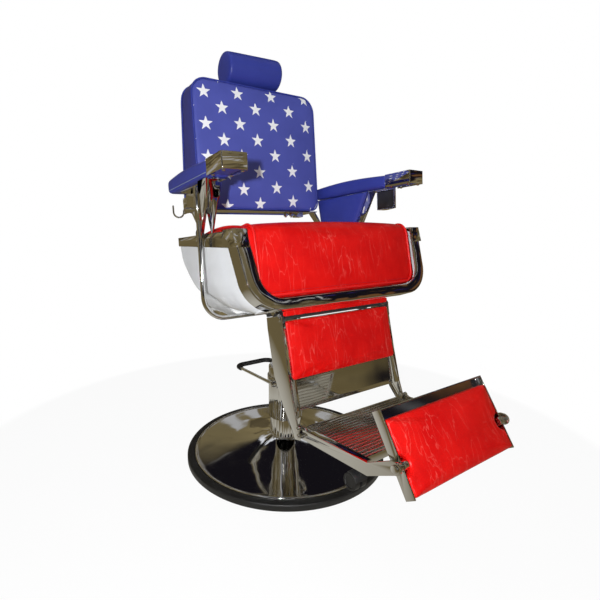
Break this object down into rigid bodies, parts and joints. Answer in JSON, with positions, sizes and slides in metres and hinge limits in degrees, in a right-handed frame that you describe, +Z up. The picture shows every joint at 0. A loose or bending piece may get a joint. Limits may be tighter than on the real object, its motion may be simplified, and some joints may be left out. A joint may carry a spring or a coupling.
{
  "type": "hydraulic barber chair",
  "caption": "Hydraulic barber chair with padded back, headrest and arms, chrome mouldings, linked recline and leg rest, ribbed foot plate and a fold-over kick plate.",
  "frame": {"origin": "centre of the round base, on the floor", "axes": "+Z up; the sitter faces -Y; the sitter's right hand is at -X, so the recline lever is at -X and the ashtray at +X"},
  "size_m": [0.7188, 0.9855, 1.2845],
  "materials": {
    "chrome": "polished chrome plate",
    "dark_steel": "black paint, satin",
    "black_rubber": "moulded black rubber",
    "black_plastic": "moulded black plastic",
    "blue_vinyl": "smooth blue vinyl, semi-gloss",
    "star_vinyl": "smooth blue vinyl printed with rows of white stars",
    "red_vinyl": "red vinyl with a faint marbled vein, semi-gloss",
    "white_enamel": "baked white enamel, gloss",
    "plywood": "bare plywood"
  },
  "bodies": {
    "base": {"floor_ring": "black_rubber", "base_dish": "chrome", "base_plate": "dark_steel", "neck_sleeve": "chrome", "pump_cover": "chrome", "pump_cylinder": "dark_steel", "bar_clamp": "chrome"},
    "pump_bar": {"pump_bar": "chrome", "pump_grip": "black_rubber"},
    "ram": {"ram": "chrome"},
    "seat": {"seat_mount": "dark_steel", "underframe": "dark_steel", "seat_pan": "white_enamel", "seat_band": "chrome", "front_moulding": "chrome", "corner_caps": "chrome", "seat_board": "plywood", "seat_cushion": "red_vinyl", "front_roll": "red_vinyl", "front_apron": "red_vinyl", "arm_bracket_right": "chrome", "arm_bracket_left": "chrome", "side_panel_right": "blue_vinyl", "side_panel_left": "blue_vinyl", "arm_pad_right": "blue_vinyl", "arm_pad_left": "blue_vinyl", "arm_cap_right": "chrome", "arm_cap_left": "chrome", "arm_screws": "chrome", "strop_hook": "chrome", "ashtray_housing": "chrome", "hinge_pins": "chrome"},
    "ashtray": {"ashtray_bin": "black_plastic"},
    "release": {"release_lever": "chrome", "release_sleeve": "chrome"},
    "back": {"back_cushion": "star_vinyl", "back_board": "blue_vinyl", "back_frame": "chrome", "back_nuts": "chrome", "headrest_socket": "chrome"},
    "headrest": {"headrest_post": "chrome", "headrest_roll": "blue_vinyl"},
    "link_right": {"recline_link_right": "chrome"},
    "link_left": {"recline_link_left": "chrome"},
    "leg": {"leg_channel_right": "chrome", "leg_channel_left": "chrome", "mirror_plate": "chrome", "leg_pad": "red_vinyl", "link_pins": "chrome", "foot_arm_right": "chrome", "foot_arm_left": "chrome", "foot_plate": "chrome", "foot_bolts": "chrome", "kick_pins": "chrome"},
    "fork_right": {"caster_fork_right": "black_plastic"},
    "fork_left": {"caster_fork_left": "black_plastic"},
    "wheels_right": {"caster_wheels_right": "black_rubber"},
    "wheels_left": {"caster_wheels_left": "black_rubber"},
    "kick": {"kick_tray": "chrome", "kick_pad": "red_vinyl"}
  },
  "joints": [
    {"name": "lift", "type": "slide", "parent": "base", "child": "ram", "axis": [0, 0, 1], "range_m": [-0.12, 0.03]},
    {"name": "swivel", "type": "hinge", "parent": "ram", "child": "seat", "pos_m": [0, 0, 0.45], "axis": [0, 0, 1], "continuous": true},
    {"name": "recline", "type": "hinge", "parent": "seat", "child": "back", "pos_m": [0, 0.12467, 0.7204], "axis": [-1, 0, 0], "range_deg": [0, 45]},
    {"name": "leg_rest", "type": "hinge", "parent": "seat", "child": "leg", "pos_m": [0, -0.24197, 0.52261], "axis": [-1, 0, 0], "range_deg": [0, 36]},
    {"name": "link_right_pivot", "type": "hinge", "parent": "back", "child": "link_right", "pos_m": [-0.1525, 0.15444, 0.69839], "axis": [-1, 0, 0], "range_deg": [-45.1, 0]},
    {"name": "link_left_pivot", "type": "hinge", "parent": "back", "child": "link_left", "pos_m": [0.1525, 0.15444, 0.69839], "axis": [-1, 0, 0], "range_deg": [-45.1, 0]},
    {"name": "headrest_height", "type": "slide", "parent": "back", "child": "headrest", "axis": [0, 0.1132, 0.9936], "range_m": [0, 0.08]},
    {"name": "pump", "type": "hinge", "parent": "base", "child": "pump_bar", "pos_m": [0, -0.029, 0.255], "axis": [1, 0, 0], "range_deg": [-12, 18], "stiffness_Nm_per_rad": 60, "springref_deg": 1.72},
    {"name": "recline_release", "type": "hinge", "parent": "seat", "child": "release", "pos_m": [-0.2, -0.11835, 0.51279], "axis": [1, 0, 0], "range_deg": [0, 14], "stiffness_Nm_per_rad": 8, "springref_deg": -5.73},
    {"name": "ashtray_tip", "type": "hinge", "parent": "seat", "child": "ashtray", "pos_m": [0.27111, -0.15078, 0.80172], "axis": [-0.0523, 0.9948, -0.087], "range_deg": [-35, 0]},
    {"name": "kick_fold", "type": "hinge", "parent": "leg", "child": "kick", "pos_m": [0, -0.62198, 0.31126], "axis": [1, 0, 0], "range_deg": [0, 170]},
    {"name": "caster_right_swivel", "type": "hinge", "parent": "leg", "child": "fork_right", "pos_m": [-0.112, -0.45486, 0.2148], "axis": [0, 0.0958, 0.9954], "continuous": true},
    {"name": "caster_right_axle", "type": "hinge", "parent": "fork_right", "child": "wheels_right", "pos_m": [-0.112, -0.44732, 0.16786], "axis": [1, 0, 0], "continuous": true},
    {"name": "caster_left_swivel", "type": "hinge", "parent": "leg", "child": "fork_left", "pos_m": [0.112, -0.45486, 0.2148], "axis": [0, 0.0958, 0.9954], "continuous": true},
    {"name": "caster_left_axle", "type": "hinge", "parent": "fork_left", "child": "wheels_left", "pos_m": [0.112, -0.44732, 0.16786], "axis": [1, 0, 0], "continuous": true}
  ],
  "couplings": [
    {"joint": "leg_rest", "follows": "recline", "ratio": 0.8},
    {"joint": "link_right_pivot", "follows": "recline", "ratio": -1.0013},
    {"joint": "link_left_pivot", "follows": "recline", "ratio": -1.0013}
  ]
}
